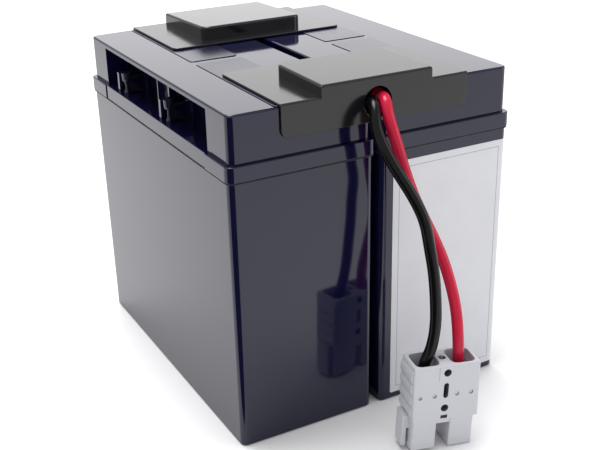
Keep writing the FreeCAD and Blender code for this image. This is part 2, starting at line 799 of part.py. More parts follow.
def hardware_stack(side, end):
    """Bolt, nut and washers of one terminal. side -1 is the left block."""
    y, z = end * bolt_y, bolt_z
    ring_face = tab_inner_face - lug_thickness
    head_seat = side * (ring_face - washer_thickness)
    head = hexagon(bolt_head_radius, bolt_head_height, head_seat, y, z, -side)
    shank = cylinder(bolt_radius, bolt_length, (head_seat, y, z), (side, 0, 0))
    bolt = fuse([head, shank])
    back = tab_inner_face + tab_thickness
    washers = []
    for start in (ring_face - washer_thickness, back):
        washer = cylinder(washer_radius, washer_thickness, (side * start, y, z), (side, 0, 0))
        washers.append(washer.cut(cylinder(bolt_hole_radius, 9, (side * (start - 3), y, z),
                                           (side, 0, 0))))
    nut = hexagon(bolt_head_radius, nut_height, side * (back + washer_thickness), y, z, side)
    nut = nut.cut(cylinder(bolt_radius, 20, (side * ring_face, y, z), (side, 0, 0)))
    return bolt, nut, washers


def make_lug(side, end, lift):
    """Ring lug on a terminal tab. Its barrel points to the front, lifted by an angle."""
    ring_x = side * tab_inner_face
    inward = -side
    ring = cylinder(lug_ring_radius, lug_thickness, (0, 0, 0), (inward, 0, 0))
    neck = box(min(0, inward * lug_thickness), max(0, inward * lug_thickness),
               0, barrel_start + 1, -lug_neck_half_width, lug_neck_half_width)
    hole = cylinder(bolt_hole_radius, 6, (-3 * inward, 0, 0), (inward, 0, 0))
    barrel = cylinder(barrel_radius, lug_reach - barrel_start,
                      (inward * barrel_radius, barrel_start, 0), (0, 1, 0))
    bore = cylinder(barrel_bore, lug_reach - barrel_start,
                    (inward * barrel_radius, barrel_bore_start, 0), (0, 1, 0))
    lug = fuse([ring, neck, barrel]).cut([hole, bore])
    sleeve = cylinder(barrel_radius + sleeve_wall, lug_reach - sleeve_start,
                      (inward * barrel_radius, sleeve_start, 0), (0, 1, 0))
    sleeve = sleeve.cut(cylinder(barrel_radius, lug_reach,
                                 (inward * barrel_radius, sleeve_start - 1, 0), (0, 1, 0)))
    placed = []
    for shape in (lug, sleeve):
        shape.rotate(Vector(0, 0, 0), Vector(1, 0, 0), 180 - lift)
        shape.translate(Vector(ring_x, end * bolt_y, bolt_z))
        placed.append(shape)
    return placed


def barrel_mouth(side, end, lift):
    """Centre of a lug barrel's mouth and the direction in which its wire leaves."""
    angle = math.radians(180 - lift)
    direction = Vector(0, math.cos(angle), math.sin(angle))
    centre = Vector(side * lug_axis_x, end * bolt_y, bolt_z) + direction * lug_reach
    return centre, direction


# ---- wires ------------------------------------------------------------------------------
def wire_tube(name, points, diameter):
    """Round tube along straight runs joined by tangent arcs, as large as the runs allow."""
    points = [Vector(*p) for p in points]
    edges, here, length = [], points[0], 0.0
    radii = []
    for before, corner, after in zip(points, points[1:], points[2:]):
        into, out = corner - before, after - corner
        shorter = min(into.Length, out.Length)
        into.normalize()
        out.normalize()
        turn = into.getAngle(out)
        radius = arc_share * shorter / math.tan(turn / 2)
        radii.append(round(radius, 1))
        setback = arc_share * shorter
        start, end = corner - into * setback, corner + out * setback
        bisector = out - into
        bisector.normalize()
        centre_distance = radius / math.cos(turn / 2)
        middle = corner + bisector * (centre_distance - radius)
        edges.append(Part.LineSegment(here, start).toShape())
        edges.append(Part.Arc(start, middle, end).toShape())
        length += (start - here).Length + radius * turn
        here = end
    edges.append(Part.LineSegment(here, points[-1]).toShape())
    length += (points[-1] - here).Length
    path = Part.Wire(edges)
    first = points[1] - points[0]
    circle = Part.Wire([Part.Circle(points[0], first, diameter / 2).toShape()])
    tube = path.makePipeShell([circle], True, False)
    expected = math.pi * diameter ** 2 / 4 * length
    runs = [round((b - a).Length, 1) for a, b in zip(points, points[1:])]
    print(name, "length", round(length, 1), "radii", radii, "runs", runs)
    print(name, "volume", round(tube.Volume, 1), "expected", round(expected, 1))
    return tube


def make_jumper():
    """Series link over the lids: a tight loop between the two rear lugs."""
    mouth, direction = barrel_mouth(-1, 1, jumper_lift)
    start = mouth + direction * lead_end_gap
    knee = start + direction * jumper_first_run
    tip = flap_outer - rear_box_length + cover_thickness + lead_diameter / 2 + lead_end_gap
    corner = jumper_loop_radius * math.tan(math.radians(22.5))
    middle = tip + jumper_loop_radius
    half = [start, knee, Vector(-jumper_loop_radius, middle + corner, knee.z),
            Vector(-jumper_loop_radius, middle - corner, knee.z), Vector(-corner, tip, knee.z)]
    far = [Vector(-p.x, p.y, p.z) for p in reversed(half)]
    return wire_tube("jumper_cable", half + far, lead_diameter)


# ---- connector, in its own frame: U across, V to the back, W up -------------------------
def place_connector(shape):
    """Stands the connector on the floor, leaning a little and turned about Z."""
    low = mating_block_outer * math.sin(math.radians(connector_lean))
    x, y = connector_place
    placed = shape.copy()
    placed.rotate(Vector(0, 0, 0), Vector(0, 1, 0), connector_lean)
    placed.rotate(Vector(0, 0, 0), Vector(0, 0, 1), connector_yaw)
    placed.translate(Vector(x, y, low + connector_floor_gap))
    return placed


def make_connector_housing():
    half_t = connector_thickness / 2
    shell = prism([(-shell_top_half, -half_t, connector_height),
                   (shell_top_half, -half_t, connector_height),
                   (shell_waist_half, -half_t, block_top),
                   (-shell_foot_half, -half_t, block_top)],
                  (0, connector_thickness, 0))
    shell = shell.makeFillet(shell_edge_radius, edges_where(
        shell, lambda e: e.BoundBox.ZLength > 10 or e.BoundBox.ZMin > connector_height - 0.1))
    pieces = [shell]
    for side in (-1, 1):
        xs = sorted((side * mating_block_inner, side * mating_block_outer))
        block = box(xs[0], xs[1], -half_t, half_t, 0, block_top + shell_edge_radius)
        block = block.makeFillet(shell_edge_radius, edges_where(
            block, lambda e: e.BoundBox.ZLength > 10 or e.BoundBox.ZMax < 0.1))
        pieces.append(block)
    wall_v = half_t - split_wall_inset
    pieces.append(box(-mating_block_inner - sink, mating_block_inner + sink, -wall_v, wall_v,
                      split_height, block_top + sink))
    pieces.append(box(-mating_block_inner - sink, -mating_block_inner + split_rib_width,
                      wall_v - split_rib_depth, wall_v, split_rib_bottom, split_height + sink))
    wing_in = -mating_block_outer - wing_gap
    wing_out = wing_in - wing_thickness
    wing_v0, wing_v1 = wing_shift - wing_width / 2, wing_shift + wing_width / 2
    wing = box(wing_out, wing_in, wing_v0, wing_v1, wing_bottom, wing_height)
    wing = wing.makeFillet(wing_edge, edges_where(wing, lambda e: e.BoundBox.XMax < wing_out + 0.01))
    root = box(wing_in - sink, -mating_block_outer + sink, wing_v0, wing_v1,
               wing_height - wing_root_height, wing_height)
    pieces += [wing, root]
    pieces.append(box(-pad_half_width, pad_half_width, -half_t - pad_rise, -half_t + sink,
                      pad_bottom, connector_height - shell_edge_radius))
    housing = fuse(pieces)
    cuts = []
    for side in (-1, 1):
        u = side * pole_offset
        pocket_half_v = half_t - pocket_wall
        cuts.append(rounded_block(pocket_width / 2, pocket_half_v, pocket_corner,
                                  pocket_floor, connector_height + 1, u, 0))
        cuts.append(cylinder(contact_barrel_radius + contact_fit, connector_height,
                             (u, 0, contact_barrel_bottom)))
        block_middle = side * (mating_block_inner + mating_block_outer) / 2
        cuts.append(rounded_block(mating_socket_width / 2, half_t - mating_socket_wall,
                                  socket_corner, -1, contact_barrel_bottom - socket_roof,
                                  block_middle, 0))
        cuts.append(box(u - blade_width / 2 - contact_fit, u + blade_width / 2 + contact_fit,
                        blade_shift - blade_thickness / 2 - contact_fit,
                        blade_shift + blade_thickness / 2 + contact_fit,
                        contact_barrel_bottom - socket_roof - sink, contact_barrel_bottom + 0.1))
    for height in mount_hole_heights:
        cuts.append(cylinder(mount_hole_radius, connector_thickness + 4,
                             (0, -half_t - 2, height), (0, 1, 0)))
    slot_mid = slot_height / 2 - slot_width / 2
    cuts.append(rounded_outline_slot(slot_width / 2, slot_mid, slot_centre))
    cuts.append(box(-recess_size[0] / 2, recess_size[0] / 2, -half_t - 1, -half_t + recess_depth,
                    recess_centre - recess_size[1] / 2, recess_centre + recess_size[1] / 2))
    cuts.append(cylinder(spine_hole_radius, spine_hole_depth + 1,
                         (0, 0, connector_height - spine_hole_depth)))
    pitch = (ridge_top - ridge_bottom) / ridge_count
    for k in range(ridge_count):
        z = ridge_bottom + (k + 0.5) * pitch
        lean = (shell_waist_half - shell_top_half) / (connector_height - block_top)
        right = shell_waist_half - lean * (z - block_top)
        left_lean = (shell_top_half - shell_foot_half) / (connector_height - block_top)
        left = -shell_foot_half - left_lean * (z - block_top)
        for face, out in ((right, 1), (left, -1)):
            us = sorted((face - out * ridge_depth, face + out * ridge_reach))
            cuts.append(box(us[0], us[1], -half_t + ridge_side_land, half_t - ridge_side_land,
                            z - pitch * ridge_share / 2, z + pitch * ridge_share / 2))
    for offset in dimple_offsets:
        for side in (-1, 1):
            cuts.append(cylinder(dimple_radius, dimple_depth, (side * offset, -half_t, dimple_height),
                                 (0, 1, 0)))
    return housing.cut(cuts).removeSplitter()


def rounded_outline_slot(radius, half_straight, centre):
    """Cutter for the upright slot through the connector's spine."""
    depth = connector_thickness + 4
    start = -connector_thickness / 2 - 2
    middle = box(-radius, radius, start, start + depth, centre - half_straight,
                 centre + half_straight)
    ends = [cylinder(radius, depth, (0, start, centre + s * half_straight), (0, 1, 0))
            for s in (-1, 1)]
    return fuse([middle] + ends)


def make_contact(side):
    """Silver-plated contact: crimp barrel above, flat blade with a turned-over tip below."""
    u = side * pole_offset
    barrel = cylinder(contact_barrel_radius, contact_barrel_top - contact_barrel_bottom,
                      (u, 0, contact_barrel_bottom))
    bore = cylinder(contact_bore_radius, contact_barrel_top - contact_barrel_bottom,
                    (u, 0, contact_barrel_bottom + contact_bore_floor))
    blade = box(u - blade_width / 2, u + blade_width / 2, blade_shift - blade_thickness / 2,
                blade_shift + blade_thickness / 2, blade_bottom, contact_barrel_bottom)
    tip = cylinder(blade_thickness / 2 + blade_tip_swell, blade_width,
                   (u - blade_width / 2, blade_shift + blade_tip_swell, blade_bottom), (1, 0, 0))
    return fuse([barrel, blade, tip]).cut(bore)


def make_contact_springs():
    """Bowed flat springs that press each blade forward from the back wall."""
    springs = []
    back = connector_thickness / 2 - mating_socket_wall
    for side in (-1, 1):
        u = side * (mating_block_inner + mating_block_outer) / 2
        z0, z1 = blade_bottom + spring_end_room, contact_barrel_bottom - spring_end_room
        middle = (z0 + z1) / 2
        outer = Part.Arc(Vector(0, back, z0), Vector(0, back - spring_bow, middle),
                         Vector(0, back, z1)).toShape()
        inner = Part.Arc(Vector(0, back - spring_thickness, z1),
                         Vector(0, back - spring_thickness - spring_bow, middle),
                         Vector(0, back - spring_thickness, z0)).toShape()
        sides = [Part.LineSegment(Vector(0, back, z1),
                                  Vector(0, back - spring_thickness, z1)).toShape(),
                 Part.LineSegment(Vector(0, back - spring_thickness, z0),
                                  Vector(0, back, z0)).toShape()]
        face = Part.Face(Part.Wire([outer, sides[0], inner, sides[1]]))
        spring = face.extrude(Vector(spring_width, 0, 0))
        spring.translate(Vector(u - spring_width / 2, 0, 0))
        springs.append(spring)
    return Part.makeCompound(springs)


# ---- build and export -------------------------------------------------------------------
block_parts = {
    "case": make_case(),
    "lid": make_lid(),
    "vent_cover_front": make_vent_cover(-1),
    "vent_cover_rear": make_vent_cover(1),
    "valve_caps": make_valve_caps(),
    "positive_plates": make_plates("positive"),
    "negative_plates": make_plates("negative"),
    "separators": make_separators(),
    "negative_terminal": make_terminal(-1),
    "positive_terminal": make_terminal(1),
    "terminal_seals": make_terminal_seals(),
}
for side in ("left", "right"):
    for name, shape in block_parts.items():
        turned = {"vent_cover_front": "vent_cover_rear", "vent_cover_rear": "vent_cover_front"}
        placed_name = turned.get(name, name) if side == "right" else name
        save(side + "_" + placed_name, place_block(shape, side))

save("foam_strips", make_foam())
save("front_label", make_label())
save("front_cover", make_cover(-1, front_box_half_width, front_box_length, front_box_rise,
                               front_box_slope))
save("rear_cover", make_cover(1, rear_box_half_width, rear_box_length, rear_box_rise,
                              rear_box_slope))
save("front_cover_tape", make_cover_tape(-1))
save("rear_cover_tape", make_cover_tape(1))

bolts, nuts, washers = [], [], []
for side in (-1, 1):
    for end in (-1, 1):
        bolt, nut, pair = hardware_stack(side, end)
        bolts.append(bolt)
        nuts.append(nut)
        washers += pair
save("terminal_bolts", Part.makeCompound(bolts))
save("terminal_nuts", Part.makeCompound(nuts))
save("terminal_washers", Part.makeCompound(washers))

for name, side in (("black", -1), ("red", 1)):
    lug, sleeve = make_lug(side, -1, 0.0)
    save(name + "_lug", lug)
    save(name + "_lug_sleeve", sleeve)
rear_pairs = [make_lug(side, 1, jumper_lift) for side in (-1, 1)]
save("jumper_lugs", Part.makeCompound([pair[0] for pair in rear_pairs]))
save("jumper_sleeves", Part.makeCompound([pair[1] for pair in rear_pairs]))
save("jumper_cable", make_jumper())
save("black_lead", wire_tube("black_lead", black_route, lead_diameter))
save("red_lead", wire_tube("red_lead", red_route, lead_diameter))

save("connector_housing", place_connector(make_connector_housing()))
save("black_contact", place_connector(make_contact(-1)))
save("red_contact", place_connector(make_contact(1)))
save("contact_springs", place_connector(make_contact_springs()))
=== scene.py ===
"""Looks of a twin-block battery cartridge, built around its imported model, in metres."""
import math

import bmesh
import bpy
from mathutils import Matrix, Vector


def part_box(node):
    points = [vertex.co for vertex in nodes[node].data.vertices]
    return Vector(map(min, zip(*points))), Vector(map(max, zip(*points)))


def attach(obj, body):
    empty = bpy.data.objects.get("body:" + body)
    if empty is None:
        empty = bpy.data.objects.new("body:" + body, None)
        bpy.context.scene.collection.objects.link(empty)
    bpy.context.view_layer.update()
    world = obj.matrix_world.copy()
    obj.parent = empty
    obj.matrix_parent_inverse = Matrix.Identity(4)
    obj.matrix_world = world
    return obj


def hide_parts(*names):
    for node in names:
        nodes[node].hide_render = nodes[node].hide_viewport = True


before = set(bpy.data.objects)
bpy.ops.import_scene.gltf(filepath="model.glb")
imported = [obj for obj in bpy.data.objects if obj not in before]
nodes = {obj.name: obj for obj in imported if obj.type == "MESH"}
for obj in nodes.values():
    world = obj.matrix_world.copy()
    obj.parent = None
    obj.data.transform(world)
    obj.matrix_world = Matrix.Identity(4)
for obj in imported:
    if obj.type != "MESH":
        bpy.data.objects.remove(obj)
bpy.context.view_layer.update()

# Camera. It stands in front and to the left of the cartridge, a little above it, and looks
# down on it with a short telephoto lens, rolled by about a degree.
camera_place = Vector((-0.248873, -0.475831, 0.299592))
camera_azimuth = math.radians(-28.226)
camera_elevation = math.radians(23.405)
camera_roll = math.radians(-1.398)
camera_lens = 62.78
sensor_width = 36.0

camera_data = bpy.data.cameras.new("camera")
camera_data.lens = camera_lens
camera_data.sensor_width = sensor_width
camera = bpy.data.objects.new("camera", camera_data)
bpy.context.scene.collection.objects.link(camera)
turn = (Matrix.Rotation(camera_azimuth, 4, "Z")
        @ Matrix.Rotation(math.radians(90) - camera_elevation, 4, "X")
        @ Matrix.Rotation(camera_roll, 4, "Z"))
camera.matrix_world = Matrix.Translation(camera_place) @ turn
bpy.context.scene.camera = camera

# Leads. Two flexible leads, 5.5 mm over their soft insulation, start at the lugs under the
# front cover, leave through its hole and end in the crimped contacts of the connector. The
# black one crosses in front of the red one half way down.
lead_diameter = 0.0055
black_route = [
    (-3.7, -84.8, 163.0), (-3.8, -88.6, 162.9), (-5.2, -95.8, 161.6), (-8.6, -100.8, 154.6),
    (-7.4, -106.0, 145.4), (-3.2, -111.6, 134.6), (2.0, -117.0, 123.4), (5.9, -120.8, 112.4),
    (6.4, -123.8, 101.2), (7.6, -126.4, 88.0), (7.5, -128.6, 74.4), (7.0, -129.8, 62.2),
    (4.9, -129.9, 51.2), (1.0, -129.4, 43.6), (0.8, -129.3, 39.6),
]
red_route = [
    (3.7, -84.8, 163.0), (3.6, -87.6, 163.1), (0.6, -95.2, 163.8), (-0.9, -99.8, 157.4),
    (1.6, -103.0, 145.4), (4.6, -105.6, 132.0), (8.0, -108.8, 119.0), (12.8, -113.2, 105.8),
    (17.0, -118.8, 92.4), (18.6, -124.8, 79.2), (18.9, -129.6, 66.6), (18.1, -132.6, 54.8),
    (18.2, -133.1, 45.2), (18.4, -133.1, 38.7),
]
millimetre = 0.001
flow_mark = 0.004         # length of a flow mark in the insulation


def linear(code):
    """An sRGB hex colour as the linear colour that a shader takes."""
    channels = [int(code[i:i + 2], 16) / 255 for i in (1, 3, 5)]
    return [c / 12.92 if c <= 0.04045 else ((c + 0.055) / 1.055) ** 2.4 for c in channels] + [1.0]


def add_node(tree, kind, settings=None, links=None):
    """Adds one node. Settings are attributes or sockets, links are (socket, node, output)."""
    made = tree.nodes.new(kind)
    for name, value in (settings or {}).items():
        if isinstance(name, int) or name in made.inputs:
            made.inputs[name].default_value = value
        else:
            setattr(made, name, value)
    for name, source, output in links or []:
        tree.links.new(source.outputs[output], made.inputs[name])
    return made


def new_material(name):
    """A material whose nodes are still to be added."""
    material = bpy.data.materials.new(name)
    material.use_nodes = True
    material.node_tree.nodes.clear()
    return material


def soft_insulation(name, colour, shade):
    """Soft PVC insulation, extruded: a smooth skin with faint long flow marks and a broad
    highlight along the lead."""
    material = new_material(name)
    tree = material.node_tree
    place = add_node(tree, "ShaderNodeTexCoord")
    marks = add_node(tree, "ShaderNodeTexNoise", {"Scale": 1 / flow_mark, "Detail": 3.0},
                     [("Vector", place, "Object")])
    mix = add_node(tree, "ShaderNodeMixRGB", {"Color1": linear(colour), "Color2": linear(shade)},
                   [("Fac", marks, "Fac")])
    bump = add_node(tree, "ShaderNodeBump", {"Strength": 0.12, "Distance": 0.0001},
                    [("Height", marks, "Fac")])
    skin = add_node(tree, "ShaderNodeBsdfPrincipled", {"Roughness": 0.2, "IOR": 1.3},
                    [("Base Color", mix, "Color"), ("Normal", bump, "Normal")])
    add_node(tree, "ShaderNodeOutputMaterial", {}, [("Surface", skin, "BSDF")])
    return material


def lead_curve(name, route, material):
    """One smooth tube whose control points are the lead's route."""
    curve = bpy.data.curves.new(name, "CURVE")
    curve.dimensions = "3D"
    spline = curve.splines.new("NURBS")
    spline.points.add(len(route) - 1)
    for point, place in zip(spline.points, route):
        point.co = [c * millimetre for c in place] + [1.0]
    spline.order_u = 3
    spline.use_endpoint_u = True
    spline.resolution_u = 12
    curve.bevel_depth = lead_diameter / 2
    curve.bevel_resolution = 7
    curve.use_fill_caps = True
    curve.materials.append(material)
    lead = bpy.data.objects.new(name, curve)
    bpy.context.scene.collection.objects.link(lead)
    return lead


black_insulation = soft_insulation("black PVC insulation", "#050506", "#09090a")
red_insulation = soft_insulation("red PVC insulation", "#bb1a3a", "#ab1732")
# colour, route, length along it in metres, insulation
lead_runs = (("black", black_route, 0.14365, black_insulation),
             ("red", red_route, 0.1446, red_insulation))
for colour, route, length, material in lead_runs:
    lead = lead_curve(colour + "_lead_flex", route, material)
    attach(lead, "root")
    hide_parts(colour + "_lead")

# Floor and light. A pale floor, an even bright room, one wide soft panel behind the
# cartridge that its glossy tops mirror, and a softer one above. A black card on the floor
# is seen only in the glossy faces, as a painted dark reflection.
floor_corners = [(-4, -4, 0), (4, -4, 0), (4, 6, 0), (-4, 6, 0)]
card_corners = [(-0.80, -0.80, 0.001), (-0.085, -0.80, 0.001), (-0.085, -0.10, 0.001),
                (-0.80, -0.10, 0.001)]
one_face = [(0, 1, 2, 3)]

floor_data = bpy.data.meshes.new("floor")
floor_data.from_pydata(floor_corners, [], one_face)
floor = bpy.data.objects.new("floor", floor_data)
bpy.context.scene.collection.objects.link(floor)
pale_floor = new_material("pale studio floor")
skin = add_node(pale_floor.node_tree, "ShaderNodeBsdfPrincipled",
                {"Base Color": linear("#f2f2f2"), "Roughness": 0.7})
add_node(pale_floor.node_tree, "ShaderNodeOutputMaterial", {}, [("Surface", skin, "BSDF")])
floor_data.materials.append(pale_floor)

# A black card that paints a dark reflection into the glossy faces. It lights and shades nothing.
reflection_card_black = new_material("black card")
skin = add_node(reflection_card_black.node_tree, "ShaderNodeBsdfPrincipled",
                {"Base Color": linear("#050506"), "Roughness": 0.9})
add_node(reflection_card_black.node_tree, "ShaderNodeOutputMaterial", {}, [("Surface", skin, "BSDF")])
card_data = bpy.data.meshes.new("painted reflection card")
card_data.from_pydata(card_corners, [], one_face)
card_data.materials.append(reflection_card_black)
card = bpy.data.objects.new("painted reflection card", card_data)
bpy.context.scene.collection.objects.link(card)
# Hidden from the camera, from diffuse light and from shadows, so it is only a painted reflection.
card.visible_camera = False
card.visible_diffuse = False
card.visible_shadow = False

world = bpy.data.worlds.new("studio room")
world.use_nodes = True
world.node_tree.nodes.clear()
room = add_node(world.node_tree, "ShaderNodeBackground",
                {"Color": (1.0, 1.0, 1.02, 1.0), "Strength": 0.78})
add_node(world.node_tree, "ShaderNodeOutputWorld", {}, [("Surface", room, "Background")])
bpy.context.scene.world = world
bpy.context.scene.view_settings.view_transform = "Standard"

# name, place, aim, width and height, power in watts
for name, place, aim, size, power in (
        ("back panel", (0.75, 1.35, 0.72), (0.0, 0.0, 0.17), (1.7, 1.2), 6.2),
        ("top panel", (-0.1, 0.25, 1.4), (0.0, 0.0, 0.1), (0.8, 0.8), 21.0),
        ("right panel", (1.3, -1.0, 0.5), (0.0, -0.1, 0.1), (0.5, 0.9), 5.0)):
    data = bpy.data.lights.new(name, "AREA")
    data.shape = "RECTANGLE"
    data.size, data.size_y = size
    data.energy = power
    light = bpy.data.objects.new(name, data)
    light.location = place
    light.rotation_mode = "QUATERNION"
    light.rotation_quaternion = (Vector(aim) - Vector(place)).to_track_quat("-Z", "Y")
    bpy.context.scene.collection.objects.link(light)

# Jars and lids. Injection-moulded ABS, dark navy and very glossy, with outer edges rounded by
# the mould. Long soft sink marks and a fine orange peel bend what the faces mirror. The posts
# and strips in the finger grips keep the grain of their mould insert, so they shine less.
merge_distance = 2e-6
flat_angle = math.radians(1)
many_sides = 24           # a face with more sides than this may wrap round a hole
edge_angle = math.radians(50)
rim_drop = 0.00005        # a rim's edge lies this near to the top
outer_reach = 0.0022      # and any other outer edge this near to a side of the piece
rim_segments = 3
edge_segments = 2
flat_width = 0.003        # a wider face is flat, a narrower one is part of a rounding
fan_angle = math.radians(50)
no_angle = 9.0            # stands for the angle to a face that has no area


def softened(name, rim_width, rim_reach, width, material):
    """The same piece as a model node with its outer edges rounded: its top rim to one width,
    as far in from its sides as the rim's reach, and every other sharp edge near its outside
    to another."""
    low, high = (Vector(corner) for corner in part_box(name))
    shape = bmesh.new()
    shape.from_mesh(nodes[name].data)
    bmesh.ops.remove_doubles(shape, verts=shape.verts, dist=merge_distance)
    bmesh.ops.dissolve_limit(shape, angle_limit=flat_angle, verts=shape.verts, edges=shape.edges)
    bmesh.ops.triangulate(shape, faces=[f for f in shape.faces if len(f.verts) > many_sides])

    def from_outside(vertex):
        inset = [min(c - a, b - c) for c, a, b in zip(vertex.co, low, high)]
        return min(inset[0], inset[1]), high.z - vertex.co.z, min(inset)

    for offset, segments, at_rim in ((rim_width, rim_segments, True),
                                     (width, edge_segments, False)):
        edges = []
        for edge in shape.edges:
            if not (edge.is_manifold and edge.is_convex
                    and edge.calc_face_angle(0) > edge_angle):
                continue
            reach = [from_outside(v) for v in edge.verts]
            if at_rim and all(side < rim_reach and drop < rim_drop for side, drop, _ in reach):
                edges.append(edge)
            if not at_rim and all(inset < outer_reach for _, _, inset in reach):
                edges.append(edge)
        bmesh.ops.bevel(shape, geom=edges, offset=offset, offset_type="OFFSET",
                        segments=segments, profile=0.5, affect="EDGES", clamp_overlap=False)
    for face in shape.faces:
        longest = max(edge.calc_length() for edge in face.edges)
        face.smooth = face.calc_area() < flat_width * longest
    bmesh.ops.triangulate(shape, faces=[f for f in shape.faces if len(f.verts) > 4])
    shape.normal_update()
    corners = []
    for face in shape.faces:
        for corner in face.loops:
            around = [(f.normal.angle(face.normal, no_angle), f)
                      for f in corner.vert.link_faces]
            near = [(turn, f) for turn, f in around if turn < fan_angle] or [(0.0, face)]
            flats = [(turn, f) for turn, f in near if not f.smooth]
            if not face.smooth:
                corners.append(face.normal.copy())
            elif flats:
                corners.append(min(flats, key=lambda pair: pair[0])[1].normal.copy())
            else:
                corners.append(sum((f.normal * f.calc_area() for _, f in near), Vector()))
    data = bpy.data.meshes.new(name + "_moulded")
    shape.to_mesh(data)
    shape.free()
    data.shade_smooth()
    data.normals_split_custom_set([corner.normalized() for corner in corners])
    piece = bpy.data.objects.new(name + "_moulded", data)
    bpy.context.scene.collection.objects.link(piece)
    data.materials.append(material)
    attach(piece, "root")
    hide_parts(name)
    return piece


def moulded_plastic(name, colour, roughness, wave_size, wave_height, grain_size, grain_height):
    """Moulded plastic: long soft waves from shrinkage and a fine grain from the tool."""
    material = new_material(name)
    tree = material.node_tree
    place = add_node(tree, "ShaderNodeTexCoord")
    waves = add_node(tree, "ShaderNodeTexNoise", {"Scale": 1 / wave_size, "Detail": 1.0},
                     [("Vector", place, "Object")])
    grain = add_node(tree, "ShaderNodeTexNoise", {"Scale": 1 / grain_size, "Detail": 3.0},
                     [("Vector", place, "Object")])
    wave_bump = add_node(tree, "ShaderNodeBump", {"Strength": 1.0, "Distance": wave_height},
                         [("Height", waves, "Fac")])
    bump = add_node(tree, "ShaderNodeBump", {"Strength": 1.0, "Distance": grain_height},
                    [("Height", grain, "Fac"), ("Normal", wave_bump, "Normal")])
    gloss = add_node(tree, "ShaderNodeMapRange",
                     {"To Min": roughness * 0.8, "To Max": roughness * 1.25},
                     [("Value", waves, "Fac")])
    skin = add_node(tree, "ShaderNodeBsdfPrincipled", {"Base Color": linear(colour), "IOR": 1.5},
                    [("Roughness", gloss, "Result"), ("Normal", bump, "Normal")])
    add_node(tree, "ShaderNodeOutputMaterial", {}, [("Surface", skin, "BSDF")])
    return material


def dress(material, *names):
    """Gives model nodes, whose shape is already right, their material."""
    for name in names:
        nodes[name].data.materials.clear()
        nodes[name].data.materials.append(material)


sides = ("left", "right")
fine_edge = 0.0003
lid_rim = 0.0008
near_sides = 0.005        # how far in from its sides a block's rim may lie
post_place = 0.0703       # the posts and strips stand this far out from the middle
post_reach = 0.0030
grip_half_length = 0.062
grip_low, grip_high = 0.1465, 0.1630
navy_abs = moulded_plastic("dark navy ABS, high gloss", "#0b0b28", roughness=0.07,
                           wave_size=0.03, wave_height=0.00003,
                           grain_size=0.0009, grain_height=0.0000015)
# The eroded grain, 0.1 mm in the mould, is drawn at 0.5 mm so that it shows.
navy_grained = moulded_plastic("dark navy ABS, spark-eroded grain", "#11111f", roughness=0.34,
                               wave_size=0.03, wave_height=0.00002,
                               grain_size=0.0005, grain_height=0.000006)
for side in sides:
    softened(side + "_case", fine_edge, near_sides, fine_edge, navy_abs)
    lid = softened(side + "_lid", lid_rim, near_sides, fine_edge, navy_abs)
    lid.data.materials.append(navy_grained)
    for face in lid.data.polygons:
        across, along, up = face.center
        if (abs(abs(across) - post_place) < post_reach and abs(along) < grip_half_length
                and grip_low < up < grip_high):
            face.material_index = 1

# Vent covers. Flat strips of the same ABS let into the lids, a little less glossy, with a
# crisp dark joint all round.
strip_edge = 0.0002
navy_satin = moulded_plastic("dark navy ABS, satin", "#0b0b28", roughness=0.2,
                             wave_size=0.03, wave_height=0.00002,
                             grain_size=0.0007, grain_height=0.000003)
for side in sides:
    for end in ("front", "rear"):
        softened(side + "_vent_cover_" + end, strip_edge, near_sides, strip_edge, navy_satin)

# Terminal covers. Vacuum-formed black polycarbonate, glossy, with a raised box, a thin
# plate and a flap at each end of the cartridge.
cover_rim = 0.0008
whole_top = 0.05          # the raised box lies this far in from the cover's sides
black_gloss = moulded_plastic("black polycarbonate, gloss", "#131315", roughness=0.15,
                              wave_size=0.02, wave_height=0.00004,
                              grain_size=0.0005, grain_height=0.000006)
for end in ("front", "rear"):
    softened(end + "_cover", cover_rim, whole_top, fine_edge, black_gloss)

# Connector housing. Light grey polycarbonate with a fine spark-eroded grain, moulded with
# its pockets, wing, slot, holes and dimples. The bores and the dimples' walls get a darker
# grey as painted shade. Broad grip ridges swell out of both sides.
connector_yaw = math.radians(-12.0)
connector_lean = math.radians(3.0)
connector_place = (0.0076, -0.1308, 0.000911)
connector_stand = (Matrix.Translation(connector_place) @ Matrix.Rotation(connector_yaw, 4, "Z")
                   @ Matrix.Rotation(connector_lean, 4, "Y"))
housing_edge = 0.0002
bore_low, spine_top, pocket_floor = 0.0150, 0.0440, 0.0340
spine_half_width, spine_half_depth = 0.0021, 0.0074
barrel_half_width, barrel_half_depth = 0.0140, 0.0060
dimple_half_width = 0.0150
dimple_front, dimple_back = -0.0077, -0.0068
wall_share = 0.5          # a dimple's wall faces less forward than this
ridge_rows = {"Left low": (-0.0157, 0.0005, 0.0207), "Left high": (-0.0162, 0.0005, 0.0393),
              "Right low": (0.0166, 0.0005, 0.0207), "Right high": (0.0161, 0.0005, 0.0393)}
ridge_count = 4
ridge_radius = 0.0033
ridge_length = 0.0134
ridge_flattening = 0.42
smooth_angle = math.radians(38)

